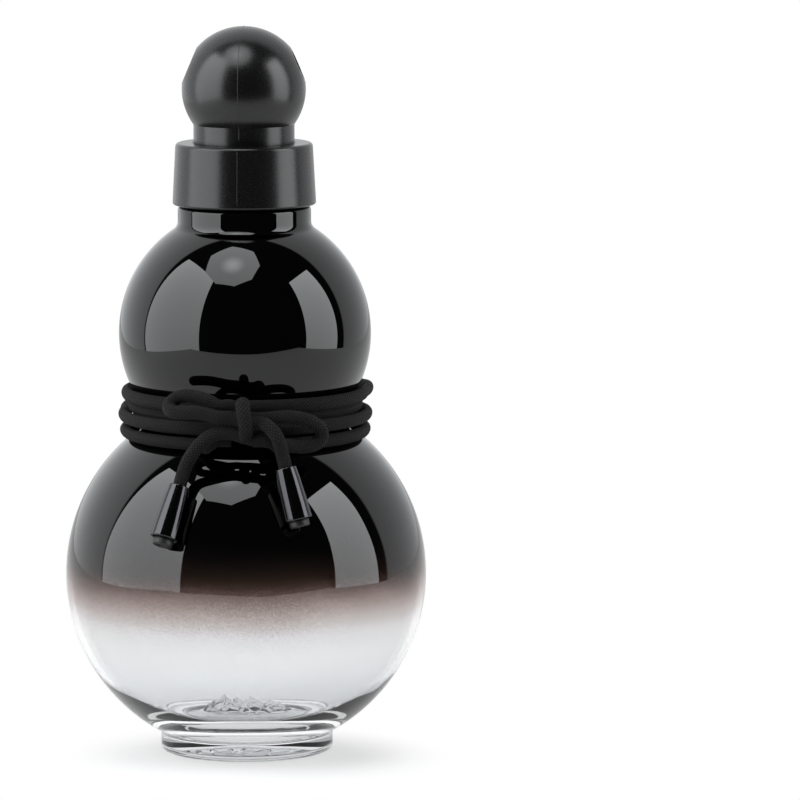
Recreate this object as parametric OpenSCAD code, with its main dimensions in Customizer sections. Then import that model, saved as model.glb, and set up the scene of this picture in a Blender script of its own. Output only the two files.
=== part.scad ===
// Gourd water bottle: a double-globe glass bottle with a ball-topped screw cap and a tied waist cord.
// Millimetres. The origin is the centre of the foot, on the surface that the bottle stands on.
// The bow faces -Y.

/* [Glass] */
// Outside radius of the lower globe
lower_r = 61.4; // [58:0.1:64]
// Height of the lower globe's centre
lower_z = 60.5; // [60:0.1:61]
// Outside radius of the upper globe
upper_r = 42.8; // [41.8:0.1:43]
// Height of the upper globe's centre
upper_z = 143; // [142.8:0.1:144]
// Radius of the hollow curve between the two globes
waist_curve_r = 5; // [4:0.1:6]
// Thickness of the blown wall
wall = 2.2; // [1.8:0.1:2.4]
// Radius of the wide curve from the inside floor into the lower globe
floor_curve_r = 44; // [36:1:46]
// Height of the inside floor
floor_z = 8.6; // [8.2:0.1:10]
// Outside radius of the foot ring
foot_r = 29.3; // [28:0.1:31]
// Height of the hollow under the base
kick_up = 3.6; // [3:0.1:4]
// Half the width of the island of peaks that stands on the inside floor
island_x = 15.6; // [14:0.1:17]
// Half the depth of the island
island_y = 9.4; // [8:0.1:11]
// Height of the tallest peak above the island's edge
peak_rise = 8.6; // [6:0.1:10]
// Radius of the collar that shows under the cap
collar_r = 22.6; // [22:0.1:22.8]
// Height of the top of the collar
collar_z = 186.2; // [186:0.1:186.4]
// Outside radius of the neck inside the cap
neck_r = 19.6; // [19:0.1:19.8]
// Radius of the mouth
mouth_r = 17; // [16.5:0.1:17.4]
// Height of the rim
rim_z = 202.6; // [202.5:0.1:202.6]

/* [Cap] */
// Outside radius at the lower edge of the skirt
skirt_r = 24.3; // [24.2:0.1:24.8]
// Outside radius at the top of the skirt
shelf_r = 23.3; // [23.3:0.1:24]
// Height of the lower edge of the skirt
skirt_z = 186.8; // [186.8:0.1:187.4]
// Height of the flat shelf round the ball
shelf_z = 207.7; // [207.6:0.1:208]
// Radius of the ball grip
ball_r = 21; // [20.8:0.1:21.6]
// Height of the middle of the ball
ball_z = 226.1; // [226:0.1:227]
// Radius of the short neck under the ball
grip_neck_r = 17.1; // [16.8:0.1:17.4]
// Thickness of the moulded plastic
shell_t = 2.2; // [1.8:0.1:2.4]
// Radius of the carry hole
hole_r = 5; // [4:0.1:5.2]
// Angle of the small flats at the hole's mouths, above the horizontal
flat_angle = 23; // [18:1:26]
// Distance of the flats from the middle of the ball
flat_distance = 20; // [19.6:0.1:20.2]

/* [Liner and seal] */
// Outside radius of the liner
liner_r = 22; // [21.9:0.05:22]
// Inside radius of the liner, at the roots of its thread
liner_bore_r = 21.1; // [21:0.05:21.2]
// Thickness of the liner's top
liner_top = 1.5; // [1.2:0.1:1.6]
// Thickness of the silicone seal
seal_t = 1.7; // [1.5:0.1:1.7]

/* [Waist cord] */
// Diameter of the cord, pulled tight
cord_d = 4.6; // [4.2:0.1:4.7]
// Turns of the cord round the waist
turns = 5; // [5]

/* [Cord ends] */
// Radius of a barrel where the cord goes in
barrel_top_r = 3.5; // [3.4:0.1:3.9]
// Radius of a barrel at its open end
barrel_end_r = 4.7; // [4.2:0.1:4.8]
// Radius of the plug in a barrel's open end
plug_r = 3.4; // [3:0.1:3.8]
// Length of the plug that stands out of a barrel
plug_out = 2.6; // [2:0.1:3]

/* [Hidden] */
$fn = 96;

// A curve that meets a globe is cut this much too deep, so that the two arcs cross instead of touching
bite = 0.005;

// Glass details
collar_curve_r = 3.5;
foot_curve_r = 1.5;
foot_edge_r = 1.4;
foot_inner_r = 24.6;
rim_round = 0.9;
collar_round = 1;
kick_edge_z = 1.2;
far = 300;
floor_flat_r = sqrt(pow(lower_r - wall - floor_curve_r, 2) - pow(lower_z - floor_z - floor_curve_r, 2));

// The island of peaks. Each peak: place across, place in depth, share of the tallest peak's rise,
// radius at its foot
peaks = [
    [-9.4, 0.4, 1, 7.6], [-5.2, -2.8, 0.6, 5.2], [-1.8, 2.8, 0.78, 6], [3, -0.8, 0.92, 8],
    [8.8, 1.8, 0.6, 5.8], [12.4, -1.6, 0.5, 4.2], [-13, -1.4, 0.34, 4], [0.4, -5.2, 0.34, 4.6],
    [6.6, -4.6, 0.3, 3.8]
];
// Waves in the island's edge: share of its size, number round it, turn
island_waves = [[0.05, 3, 40], [0.035, 5, -70], [0.025, 8, 0]];
island_step = 0.8;
island_root = 1;
island_rings = 10;
island_sides = 56;
peak_ribs = 5;
peak_rib_depth = 0.17;
peak_twist = 14;
peak_turn = 50;
peak_sharpness = 1.4;
peak_flattening = 1.25;

// Cap details
skirt_bore_r = 22.05;
shelf_edge_r = 1.2;
skirt_edge_r = 0.8;
shelf_under_z = 205.9;
hole_z = ball_z + flat_distance * sin(flat_angle);
hole_wall = 1.8;
moat_r = 17.9;
moat_depth = 0.5;

// Liner and seal details
liner_low_z = 187.6;
liner_top_z = shelf_under_z - liner_top;
keeper_r = 15.1;
keeper_wall = 1.5;
keeper_drop = 3;
seal_inner_r = 15.3;
seal_outer_r = 20.9;
seal_gap = 0.05;

// The cord lies in these places at the waist, as radius and height, and changes place once a turn at the back
low = [40.8, 110];
inmost = [36.5, 114.6];
second = [39.2, 119.3];
top = [41.7, 123.8];
middle = [42.1, 115];
places = [low, inmost, second, top, middle, low];
// Where in its turn each pass starts to change place, and over how much of the turn
change_start = [0.46, 0.38, 0.3, 0.24, 0.54];
change_span = [0.1, 0.1, 0.1, 0.5, 0.1];
// How far a pass moves out to clear the others, and where in its turn this starts and ends
lift = [0, 0, 0, 5.4, 1.1];
lift_start = [0, 0, 0, 0.24, 0.3];
lift_end = [0, 0, 0, 0.64, 0.56];
lift_span = 0.1;
rings_per_turn = 24;
winding_sides = 6;

// The knot's core, and where the winding's ends leave it
knot_half = 3.6;
knot_back_y = -44.7;
knot_front_y = -54.5;
knot_low_z = 110;
knot_high_z = 126.2;
knot_corner_r = 3.5;
end_y = -46.9;
end_z = 112.4;

// Routes of the free stretches, chosen by hand
cord_sides = 10;
wrap_route = [
    [0.6, -48, 125.6], [0.6, -51, 126.6], [0.8, -53.6, 125.2], [0.9, -54.9, 122], [0.8, -55.2, 118.6],
    [0, -54.8, 115.2], [-0.6, -53.2, 112.2], [-0.8, -50.4, 110.8], [-0.8, -47.6, 111.4]
];
loop_left_route = [
    [-3.6, -47.2, 123.8], [-7.6, -47.2, 123.8], [-11.4, -46.2, 125.6], [-15, -44.8, 126.6],
    [-18.6, -43.2, 126.8], [-21.8, -42.4, 126], [-23.8, -43, 124.4], [-24.2, -45, 122.8],
    [-22.6, -47.4, 122], [-19.2, -49.2, 122], [-14.8, -50.6, 122.2], [-8, -51.8, 120.8], [-3.6, -51.8, 120.8]
];
loop_left_plane = [0, 3, -4];
loop_right_route = [
    [3.6, -47, 119.6], [7.8, -47, 119.6], [12, -46.8, 120], [16.4, -46, 120], [20.6, -45, 119.2],
    [24, -43.6, 117.6], [26.2, -42.4, 115.2], [26.4, -42.2, 112.8], [24.8, -43, 110.8],
    [21.6, -44.6, 110], [17.8, -46.4, 110.2], [14.2, -48.8, 111], [10.8, -51.4, 112.2],
    [7.6, -52, 113], [3.6, -52, 113]
];
loop_right_plane = [1, 3, 0];
tail_left_route = [
    [-3.6, -51.8, 115.4], [-7.6, -51.8, 115.4], [-11.2, -51.6, 114], [-14.2, -50.8, 111.2],
    [-16.6, -49.8, 108], [-18.4, -49.2, 104.8], [-19.6, -49.8, 101.6], [-20.8, -51.4, 97.6]
];
tail_right_route = [
    [3.6, -52.4, 118.8], [6.6, -52.4, 118.8], [9.4, -54.8, 117.6], [11.6, -56.2, 115],
    [12.8, -56, 111.8], [13.6, -55.2, 108.4], [14.6, -55.8, 104.4]
];
tail_plane = [0, 1, 0];
barrel_left = [[-20.8, -51.4, 97.6], [-25.6, -57.8, 81.6]];
barrel_right = [[14.6, -55.8, 104.4], [18.7, -58.26, 88]];
barrel_wall = 1;
barrel_floor = 1.6;

// Points along a circle's arc, from one angle to another
function arc(centre, r, from, to, steps = 6) =
    [for (i = [0:steps]) let (a = from + (to - from) * i / steps) centre + r * [cos(a), sin(a)]];

// Where the centre of a curve lies that touches a globe from outside: its height above the globe's centre
function curve_rise(globe, curve, out) = sqrt(pow(globe + curve, 2) - pow(out, 2));

// Smooth step from 0 to 1
function ease(t) = let (c = min(1, max(0, t))) c * c * (3 - 2 * c);
function mix(a, b, t) = a + (b - a) * t;
function unit(v) = v / norm(v);

// Direction of a route at one of its points
function heading(route, i) =
    i == 0 ? unit(route[1] - route[0])
    : i == len(route) - 1 ? unit(route[i] - route[i - 1])
    : unit(unit(route[i + 1] - route[i]) + unit(route[i] - route[i - 1]));

// One ring of points round a route. The plane's normal steadies the ring, so that the tube doesn't twist
function ring(route, i, normal, r, sides) =
    let (t = heading(route, i), side = unit(cross(t, normal)), up = cross(side, t))
    [for (k = [0:sides - 1]) let (a = 360 * (k + 0.5) / sides) route[i] + r * (cos(a) * side + sin(a) * up)];

// A tube swept along a route: one closed polyhedron of triangles
module tube(route, normal, r, sides) {
    n = len(route);
    skin = [for (i = [0:n - 2], k = [0:sides - 1]) let (
        a = i * sides + k, b = i * sides + (k + 1) % sides, c = a + sides, d = b + sides
    ) each [[a, b, d], [a, d, c]]];
    near = [for (k = [1:sides - 2]) [0, k + 1, k]];
    last = (n - 1) * sides;
    distant = [for (k = [1:sides - 2]) [last, last + k, last + k + 1]];
    polyhedron([for (i = [0:n - 1]) each ring(route, i, normal, r, sides)], concat(skin, near, distant));
}

// The curve from the upper and lower globes into each other, as a hollow between them
module waist(inset) {
    gap = upper_z - lower_z;
    sum = lower_r + upper_r + 2 * waist_curve_r;
    rise = (gap * gap + (lower_r - upper_r) * sum) / (2 * gap);
    out = sqrt(pow(lower_r + waist_curve_r, 2) - rise * rise);
    centre = [out, lower_z + rise];
    deep = wall + waist_curve_r + 2;
    difference() {
        polygon([
            centre,
            centre + (waist_curve_r + deep) * unit([0, lower_z] - centre), [0, lower_z], [0, upper_z],
            centre + (waist_curve_r + deep) * unit([0, upper_z] - centre)
        ]);
        translate(centre) circle(waist_curve_r + inset + bite);
    }
}

// Joins flat shapes without a seam, by taking away all that lies outside them
module joined() {
    difference() {
        square([far, far]);
        difference() {
            square([far, far]);
            children();
        }
    }
}

// Both globes and the waist between them, in half section, with everything set in from the outside surface
module globes(inset) {
    translate([0, lower_z]) circle(lower_r - inset);
    translate([0, upper_z]) circle(upper_r - inset);
    waist(inset);
}

// A neck of a given radius with its hollow curve onto the upper globe, in half section
module shoulder(r, curve, globe) {
    rise = curve_rise(globe, curve, r + curve);
    centre = [r + curve, upper_z + rise];
    difference() {
        polygon([
            [0, upper_z], centre + (curve + 3) * unit([0, upper_z] - centre), centre,
            [r, centre[1]], [0, centre[1]]
        ]);
        translate(centre) circle(curve + bite);
    }
}

module glass_outside() {
    globes(0);
    shoulder(collar_r, collar_curve_r, upper_r);
    collar_low = upper_z + curve_rise(upper_r, collar_curve_r, collar_r + collar_curve_r);
    polygon(concat(
        [[0, collar_low - 1], [collar_r, collar_low - 1]],
        arc([collar_r - collar_round, collar_z - collar_round], collar_round, 0, 90),
        [[neck_r, collar_z]],
        arc([neck_r - rim_round, rim_z - rim_round], rim_round, 0, 90),
        [[0, rim_z]]
    ));
    drop = curve_rise(lower_r, foot_curve_r, foot_r + foot_curve_r);
    foot_top = [foot_r + foot_curve_r, lower_z - drop];
    difference() {
        polygon([
            [0, lower_z], foot_top + (foot_curve_r + 3) * unit([0, lower_z] - foot_top), foot_top,
            [foot_r, foot_top[1]], [0, foot_top[1]]
        ]);
        translate(foot_top) circle(foot_curve_r + bite);
    }
    polygon(concat(
        [[0, foot_top[1] + 1], [0, 0]],
        arc([foot_r - foot_edge_r, foot_edge_r], foot_edge_r, -90, 0),
        [[foot_r, foot_top[1] + 1]]
    ));
}

module glass_inside() {
    neck_curve_r = 6;
    turn = [floor_flat_r, floor_z + floor_curve_r];
    intersection() {
        globes(wall);
        union() {
            translate(turn) circle(floor_curve_r + bite, $fn = 240);
            translate([0, floor_z]) square([floor_flat_r, lower_z - floor_z]);
            polygon([[0, lower_z], [0, lower_z] + far * unit(turn - [0, lower_z]), [far, far], [0, far]]);
        }
    }
    shoulder(mouth_r, neck_curve_r, upper_r - wall);
    mouth_low = upper_z + curve_rise(upper_r - wall, neck_curve_r, mouth_r + neck_curve_r);
    translate([0, mouth_low - 1]) square([mouth_r, far]);
}

// The hollow under the base: a shallow dome inside the foot ring
module kick() {
    polygon(concat(
        [[0, -1], [foot_inner_r + 0.5, -1], [foot_inner_r + 0.5, 0]],
        arc([foot_inner_r + 0.5, kick_edge_z], kick_edge_z, -90, -180, 4),
        [for (i = [0:12]) let (x = (foot_inner_r + 0.5 - kick_edge_z) * (1 - i / 12))
            [x, mix(kick_up, kick_edge_z, pow(x / (foot_inner_r + 0.5 - kick_edge_z), 2))]]
    ));
}

// Height of the inside floor at a distance from the axis
function floor_height(r) =
    r < floor_flat_r ? floor_z
    : floor_z + floor_curve_r - sqrt(pow(floor_curve_r, 2) - pow(r - floor_flat_r, 2));

// A place on the island: share of the way from its middle to its edge, and angle
function island_edge(a, k = 0) =
    k == len(island_waves) ? 1
    : island_waves[k][0] * sin(island_waves[k][1] * a + island_waves[k][2]) + island_edge(a, k + 1);
function island_place(s, a) = s * island_edge(a) * [island_x * cos(a), island_y * sin(a)];

// Rise of one peak at a place: a hollow-sided cone with ribs that wind a little
function peak_at(p, place) =
    let (
        d = place - [p[0], p[1]],
        away = norm([d[0], peak_flattening * d[1]]),
        rib = sin(peak_ribs * atan2(d[1], d[0]) + peak_twist * away + peak_turn * p[0]),
        share = max(0, 1 - away / (p[3] * (1 + peak_rib_depth * rib)))
    ) peak_rise * p[2] * pow(share, peak_sharpness);
function island_point(s, a) =
    let (place = island_place(s, a))
    [place[0], place[1], floor_height(norm(place)) + island_step + max([for (p = peaks) peak_at(p, place)])];

// The peaks, pressed in one with the floor: one closed polyhedron whose root lies in the glass
module island() {
    tops = [for (i = [1:island_rings], k = [0:island_sides - 1])
        island_point(i / island_rings, 360 * k / island_sides)];
    foot = [for (k = [0:island_sides - 1]) let (place = island_place(1, 360 * k / island_sides))
        [place[0], place[1], floor_z - island_root]];
    middle = [island_point(0, 0), [0, 0, floor_z - island_root]];
    low = island_rings * island_sides;
    crown = [for (k = [0:island_sides - 1]) [k, low + island_sides, (k + 1) % island_sides]];
    skin = [for (i = [0:island_rings - 1], k = [0:island_sides - 1]) let (
        a = i * island_sides + k, b = i * island_sides + (k + 1) % island_sides,
        c = a + island_sides, d = b + island_sides
    ) each [[a, b, d], [a, d, c]]];
    under = [for (k = [0:island_sides - 1]) [low + k, low + (k + 1) % island_sides, low + island_sides + 1]];
    polyhedron(concat(tops, foot, middle), concat(crown, skin, under));
}

module glass_bottle() {
    color([0.09, 0.09, 0.1, 0.75])
    union() {
        rotate_extrude($fn = 180) difference() {
            joined() glass_outside();
            joined() glass_inside();
            kick();
        }
        island();
    }
}

module cap_outside() {
    polygon(concat(
        [[0, skirt_z]],
        arc([skirt_r - skirt_edge_r, skirt_z + skirt_edge_r], skirt_edge_r, -90, 0, 4),
        arc([shelf_r - shelf_edge_r, shelf_z - shelf_edge_r], shelf_edge_r, 0, 90, 6),
        [
            [moat_r, shelf_z], [grip_neck_r + 0.1, shelf_z - moat_depth], [grip_neck_r, shelf_z - moat_depth],
            [grip_neck_r, ball_z - sqrt(ball_r * ball_r - grip_neck_r * grip_neck_r) + 0.5],
            [0, ball_z]
        ]
    ));
    intersection() {
        translate([0, ball_z]) circle(ball_r);
        translate([0, shelf_z]) square([far, far]);
    }
}

module cap_inside() {
    square([skirt_bore_r, shelf_under_z]);
    inner = grip_neck_r - shell_t;
    translate([0, shelf_under_z - 1]) square([inner, ball_z - shelf_under_z]);
    intersection() {
        translate([0, ball_z]) circle(ball_r - shell_t);
        translate([0, shelf_z]) square([far, far]);
    }
}

module across_hole(r) {
    translate([0, 0, hole_z]) rotate([0, 90, 0]) cylinder(r = r, h = 2 * ball_r + 4, center = true);
}

module cap_shell() {
    color([0.1, 0.1, 0.11])
    difference() {
        rotate_extrude() cap_outside();
        difference() {
            rotate_extrude() cap_inside();
            across_hole(hole_r + hole_wall);
        }
        across_hole(hole_r);
        for (side = [0, 180])
            rotate([0, 0, side]) translate([0, 0, ball_z]) rotate([0, -flat_angle, 0])
                translate([flat_distance, -ball_r, -ball_r]) cube(2 * ball_r);
    }
}

module cap_liner() {
    color([0.86, 0.86, 0.84])
    rotate_extrude() {
        polygon([
            [liner_bore_r + 0.4, liner_low_z], [liner_r, liner_low_z],
            [liner_r, shelf_under_z], [0, shelf_under_z],
            [0, liner_top_z], [keeper_r - keeper_wall, liner_top_z],
            [keeper_r - keeper_wall, liner_top_z - keeper_drop + 0.4],
            [keeper_r - keeper_wall + 0.4, liner_top_z - keeper_drop],
            [keeper_r - 0.4, liner_top_z - keeper_drop],
            [keeper_r, liner_top_z - keeper_drop + 0.4], [keeper_r, liner_top_z],
            [liner_bore_r, liner_top_z], [liner_bore_r, liner_low_z + 0.6]
        ]);
    }
}

module seal() {
    color([0.8, 0.8, 0.78])
    rotate_extrude() translate([0, rim_z + seal_gap]) {
        round_r = 0.35;
        polygon(concat(
            arc([seal_outer_r - round_r, round_r], round_r, -90, 0, 3),
            arc([seal_outer_r - round_r, seal_t - round_r], round_r, 0, 90, 3),
            arc([seal_inner_r + round_r, seal_t - round_r], round_r, 90, 180, 3),
            arc([seal_inner_r + round_r, round_r], round_r, 180, 270, 3)
        ));
    }
}

// Radius and height of the cord at a number of turns from the front
function place(u) =
    let (
        k = min(turns - 1, floor(u)), f = u - k,
        t = ease((f - change_start[k]) / change_span[k]),
        out = lift[k] * (ease((f - lift_start[k]) / lift_span) - ease((f - lift_end[k]) / lift_span)),
        p = mix(places[k], places[k + 1], t) + [out, 0],
        // Angle from the nearer end of the cord, at the front
        a = 360 * min(u, turns - u),
        r = mix(abs(end_y) / cos(min(a, 60)), p[0], ease((a - 10) / 12)),
        dip = min(0.6, 0.4 * (r - p[0]))
    )
    a > 30 ? p : [r, mix(end_z, p[1] - dip, ease((a - 10) / 7))];

function winding_point(u) = let (p = place(u), a = 360 * u - 90) [p[0] * cos(a), p[0] * sin(a), p[1]];

end_turn = atan(knot_half / abs(end_y)) / 360;
straight_turn = atan((knot_half + cord_d) / abs(end_y)) / 360;
winding_route = concat(
    [winding_point(end_turn), winding_point(straight_turn)],
    [for (i = [1:turns * rings_per_turn - 1]) winding_point(i / rings_per_turn)],
    [winding_point(turns - straight_turn), winding_point(turns - end_turn)]
);
// The least gap between two passes of the cord, measured at points half a ring apart
measured = [for (i = [1:2 * turns * rings_per_turn - 1]) winding_point(i / rings_per_turn / 2)];
least_gap = min([for (i = [0:len(measured) - 1], j = [i + rings_per_turn:len(measured) - 1])
    if (j < len(measured)) norm(measured[i] - measured[j])]) - cord_d;

module cord_winding() {
    echo(least_gap_mm = least_gap);
    color([0.06, 0.06, 0.06]) tube(winding_route, [0, 0, 1], cord_d / 2, winding_sides);
}

// The knot: the bundle of cords that it holds, and the pass of cord wrapped over the front
module cord_knot() {
    color([0.06, 0.06, 0.06]) {
        deep = knot_back_y - knot_front_y;
        tall = knot_high_z - knot_low_z;
        c = knot_corner_r;
        translate([-knot_half, knot_back_y, knot_low_z]) rotate([90, 0, 90]) linear_extrude(2 * knot_half)
            polygon(concat(
                arc([-c, c], c, -90, 0), arc([-c, tall - c], c, 0, 90),
                arc([c - deep, tall - c], c, 90, 180), arc([c - deep, c], c, 180, 270)
            ));
        tube(wrap_route, [1, 0, 0], cord_d / 2, cord_sides);
    }
}

// A free stretch of the cord, along its route
module stretch(route, normal) {
    color([0.06, 0.06, 0.06]) tube(route, normal, cord_d / 2, cord_sides);
}

module bow_loop_left() { stretch(loop_left_route, loop_left_plane); }
module bow_loop_right() { stretch(loop_right_route, loop_right_plane); }
module cord_tail_left() { stretch(tail_left_route, tail_plane); }
module cord_tail_right() { stretch(tail_right_route, tail_plane); }

// Puts a piece that is drawn along +Z from the origin between two points
module along(ends) {
    d = unit(ends[1] - ends[0]);
    translate(ends[0]) rotate([0, acos(d[2]), atan2(d[1], d[0])]) children();
}

module barrel(ends) {
    long = norm(ends[1] - ends[0]);
    soft = 0.6;
    color([0.2, 0.2, 0.22])
    along(ends) rotate_extrude() polygon([
        [0, 0], [barrel_top_r - soft, 0], [barrel_top_r, soft], [barrel_end_r, long - soft / 2],
        [barrel_end_r - soft / 2, long], [barrel_end_r - barrel_wall, long],
        [barrel_end_r - barrel_wall, long - barrel_floor], [0, long - barrel_floor]
    ]);
}

module end_plug(ends) {
    long = norm(ends[1] - ends[0]);
    soft = 0.5;
    color([0.05, 0.05, 0.05])
    along(ends) translate([0, 0, long - barrel_floor]) rotate_extrude() polygon([
        [0, 0], [plug_r, 0], [plug_r, barrel_floor + plug_out - soft],
        [plug_r - soft, barrel_floor + plug_out], [0, barrel_floor + plug_out]
    ]);
}

module cord_end_left() { barrel(barrel_left); }
module cord_end_right() { barrel(barrel_right); }
module end_plug_left() { end_plug(barrel_left); }
module end_plug_right() { end_plug(barrel_right); }

glass_bottle();
cap_shell();
cap_liner();
seal();
cord_winding();
cord_knot();
bow_loop_left();
bow_loop_right();
cord_tail_left();
cord_tail_right();
cord_end_left();
cord_end_right();
end_plug_left();
end_plug_right();
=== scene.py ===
# %% [markdown]
# # Gourd water bottle
# A glass bottle blown in two globes, a moulded screw cap with a ball grip, and a braided cord tied round the waist.
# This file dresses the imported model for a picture. It works in metres, in the model's own frame: +Z is up, the foot
# stands at z 0, and the bow faces -Y. Shapes are worked out in millimetres, as on a drawing, and turned into metres
# at the moment that a mesh is made.

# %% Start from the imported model
import bpy
import math
from mathutils import Euler, Matrix, Vector, noise


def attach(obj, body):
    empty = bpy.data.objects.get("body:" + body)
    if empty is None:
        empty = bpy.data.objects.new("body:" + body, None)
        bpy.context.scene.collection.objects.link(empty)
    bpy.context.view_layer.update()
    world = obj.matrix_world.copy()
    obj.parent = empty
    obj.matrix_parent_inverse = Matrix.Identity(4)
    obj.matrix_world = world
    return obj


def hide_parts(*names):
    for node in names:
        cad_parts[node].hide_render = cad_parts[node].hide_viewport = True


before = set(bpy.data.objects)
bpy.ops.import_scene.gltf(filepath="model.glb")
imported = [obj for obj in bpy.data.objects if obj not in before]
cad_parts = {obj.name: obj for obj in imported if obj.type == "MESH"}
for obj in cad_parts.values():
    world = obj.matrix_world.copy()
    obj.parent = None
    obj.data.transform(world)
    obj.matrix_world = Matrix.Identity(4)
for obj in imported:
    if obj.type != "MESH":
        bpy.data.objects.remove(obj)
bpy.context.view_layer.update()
MM = 0.001
scene = bpy.context.scene
print("nodes:", sorted(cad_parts))

# %% [markdown]
# ## The camera
# The picture was taken with a long lens from about two metres, a little above the bottle and to its right, looking
# slightly down. A long lens keeps the two globes' outlines nearly round. The numbers come from fitting a camera to
# the outlines of the globes, the cap and the foot.

# %% Camera
camera_data = bpy.data.cameras.new("camera")
camera_data.sensor_width = 36.0
camera_data.lens = 6225 / 800 * 36.0
camera_data.clip_start = 0.05
camera_data.clip_end = 30.0
camera = bpy.data.objects.new("camera", camera_data)
scene.collection.objects.link(camera)
tilt = Euler((math.radians(90 - 7.39), 0, 0)).to_matrix().to_4x4()
roll = Matrix.Rotation(math.radians(-0.109), 4, "Z")
camera.matrix_world = Matrix.Translation((0.0526, -2.1, 0.3921)) @ tilt @ roll
scene.camera = camera
scene.view_settings.view_transform = "Standard"
print("lens %.1f mm" % camera_data.lens)

# %% [markdown]
# ## Helpers for making meshes
# Three small tools make nearly every piece here. A lathe turns an outline round the upright axis, as blown and
# turned things are made. A tube follows a route, for cords and mouldings. Both give each point a place in the UV map,
# round and along the piece, and a braid pattern is laid out on that.

# %% Mesh helpers
def make_mesh(name, points, faces, uvs=None):
    """A smooth mesh object from points in millimetres."""
    mesh = bpy.data.meshes.new(name)
    mesh.from_pydata([(x * MM, y * MM, z * MM) for x, y, z in points], [], faces)
    mesh.validate()
    mesh.shade_smooth()
    if uvs:
        layer = mesh.uv_layers.new(name="UVMap")
        for k, uv in enumerate(uvs):
            layer.data[k].uv = uv
    piece = bpy.data.objects.new(name, mesh)
    scene.collection.objects.link(piece)
    return piece


def lathe(name, outline, sides=160, closed=False, shift=None):
    """Turns an outline of (radius, height) round +Z. shift(radius, angle, height) may move each point."""
    points, rings = [], []
    for r, z in outline:
        if r < 1e-4:
            rings.append([len(points)] * sides)
            points.append((0.0, 0.0, z) if shift is None else shift(0.0, 0.0, z))
            continue
        rings.append(range(len(points), len(points) + sides))
        for k in range(sides):
            a = 2 * math.pi * k / sides
            points.append((r * math.cos(a), r * math.sin(a), z) if shift is None else shift(r, a, z))
    faces, uvs = [], []
    pairs = list(zip(range(len(rings) - 1), range(1, len(rings))))
    if closed:
        pairs.append((len(rings) - 1, 0))
    for i, j in pairs:
        for k in range(sides):
            m = (k + 1) % sides
            quad = [(rings[i][k], k, i), (rings[i][m], k + 1, i), (rings[j][m], k + 1, j), (rings[j][k], k, j)]
            kept = []
            for corner in quad:
                if corner[0] not in [c[0] for c in kept]:
                    kept.append(corner)
            if len(kept) > 2:
                faces.append([c[0] for c in kept])
                uvs += [(c[1] / sides, c[2] / len(rings)) for c in kept]
    return make_mesh(name, points, faces, uvs)


def smooth_route(points, step, closed=False):
    """A finer route through the points: a Catmull-Rom curve, with a point about every step millimetres."""
    pts = [Vector(p) for p in points]
    count = len(pts)
    out = []
    for i in range(count if closed else count - 1):
        if closed:
            p0, p1, p2, p3 = (pts[(i + k) % count] for k in (-1, 0, 1, 2))
        else:
            p1, p2 = pts[i], pts[i + 1]
            p0 = pts[i - 1] if i else p1 * 2 - p2
            p3 = pts[i + 2] if i + 2 < count else p2 * 2 - p1
        parts = max(1, round((p2 - p1).length / step))
        for k in range(parts):
            t = k / parts
            out.append(0.5 * (2 * p1 + (p2 - p0) * t + (2 * p0 - 5 * p1 + 4 * p2 - p3) * t * t
                              + (3 * p1 - p0 - 3 * p2 + p3) * t ** 3))
    if not closed:
        out.append(pts[-1])
    return out


def tube(name, route, radius, sides=16, closed=False, squeeze=None, cap_ends=True, up=(0, 0, 1)):
    """A tube along a fine route. radius is a number, or a function of the share of the length.
    squeeze(share) gives (width, height) factors and so an oval section."""
    pts = [Vector(p) for p in route]
    count = len(pts)
    lengths = [0.0]
    for a, b in zip(pts, pts[1:]):
        lengths.append(lengths[-1] + (b - a).length)
    total = lengths[-1] + ((pts[0] - pts[-1]).length if closed else 0)
    ahead = []
    for i in range(count):
        a = pts[(i - 1) % count] if closed or i else pts[0]
        b = pts[(i + 1) % count] if closed or i < count - 1 else pts[-1]
        ahead.append((b - a).normalized())
    side = ahead[0].cross(Vector(up))
    side = (side if side.length > 0.05 else ahead[0].cross(Vector((1, 0.2, 0)))).normalized()
    sides_at = [side]
    for i in range(1, count):
        side = side - ahead[i] * side.dot(ahead[i])
        side.normalize()
        sides_at.append(side.copy())
    turn = 0.0
    if closed:
        last = sides_at[-1] - ahead[0] * sides_at[-1].dot(ahead[0])
        turn = math.atan2(ahead[0].dot(last.cross(sides_at[0])), last.dot(sides_at[0]))
    points, faces, uvs = [], [], []
    for i in range(count):
        share = lengths[i] / total
        r = radius(share) if callable(radius) else radius
        w, h = squeeze(share) if squeeze else (1, 1)
        across, above = sides_at[i], ahead[i].cross(sides_at[i])
        for k in range(sides):
            a = 2 * math.pi * k / sides + turn * share
            points.append(pts[i] + r * (w * math.cos(a) * across + h * math.sin(a) * above))
    girth = 2 * math.pi * (radius(0.5) if callable(radius) else radius)
    spans = count if closed else count - 1
    for i in range(spans):
        j = (i + 1) % count
        v0, v1 = lengths[i] / girth, (lengths[j] if j else total) / girth
        for k in range(sides):
            m = (k + 1) % sides
            faces.append((i * sides + k, i * sides + m, j * sides + m, j * sides + k))
            uvs += [(k / sides, v0), ((k + 1) / sides, v0), ((k + 1) / sides, v1), (k / sides, v1)]
    if cap_ends and not closed:
        faces.append(tuple(reversed(range(sides))))
        faces.append(tuple((count - 1) * sides + k for k in range(sides)))
        uvs += [(0.5, 0.5)] * (2 * sides)
    piece = make_mesh(name, points, faces, uvs)
    piece["length_mm"] = total
    return piece


def arc(cx, cz, r, start, end, step=3.0):
    """Points on an arc, its angles in degrees, one about every step degrees."""
    parts = max(2, math.ceil(abs(end - start) / step))
    angles = [math.radians(start + (end - start) * i / parts) for i in range(parts + 1)]
    return [(cx + r * math.cos(a), cz + r * math.sin(a)) for a in angles]


def ease(t):
    t = min(1.0, max(0.0, t))
    return t * t * (3 - 2 * t)


def mix(a, b, t):
    return a + (b - a) * t


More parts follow.
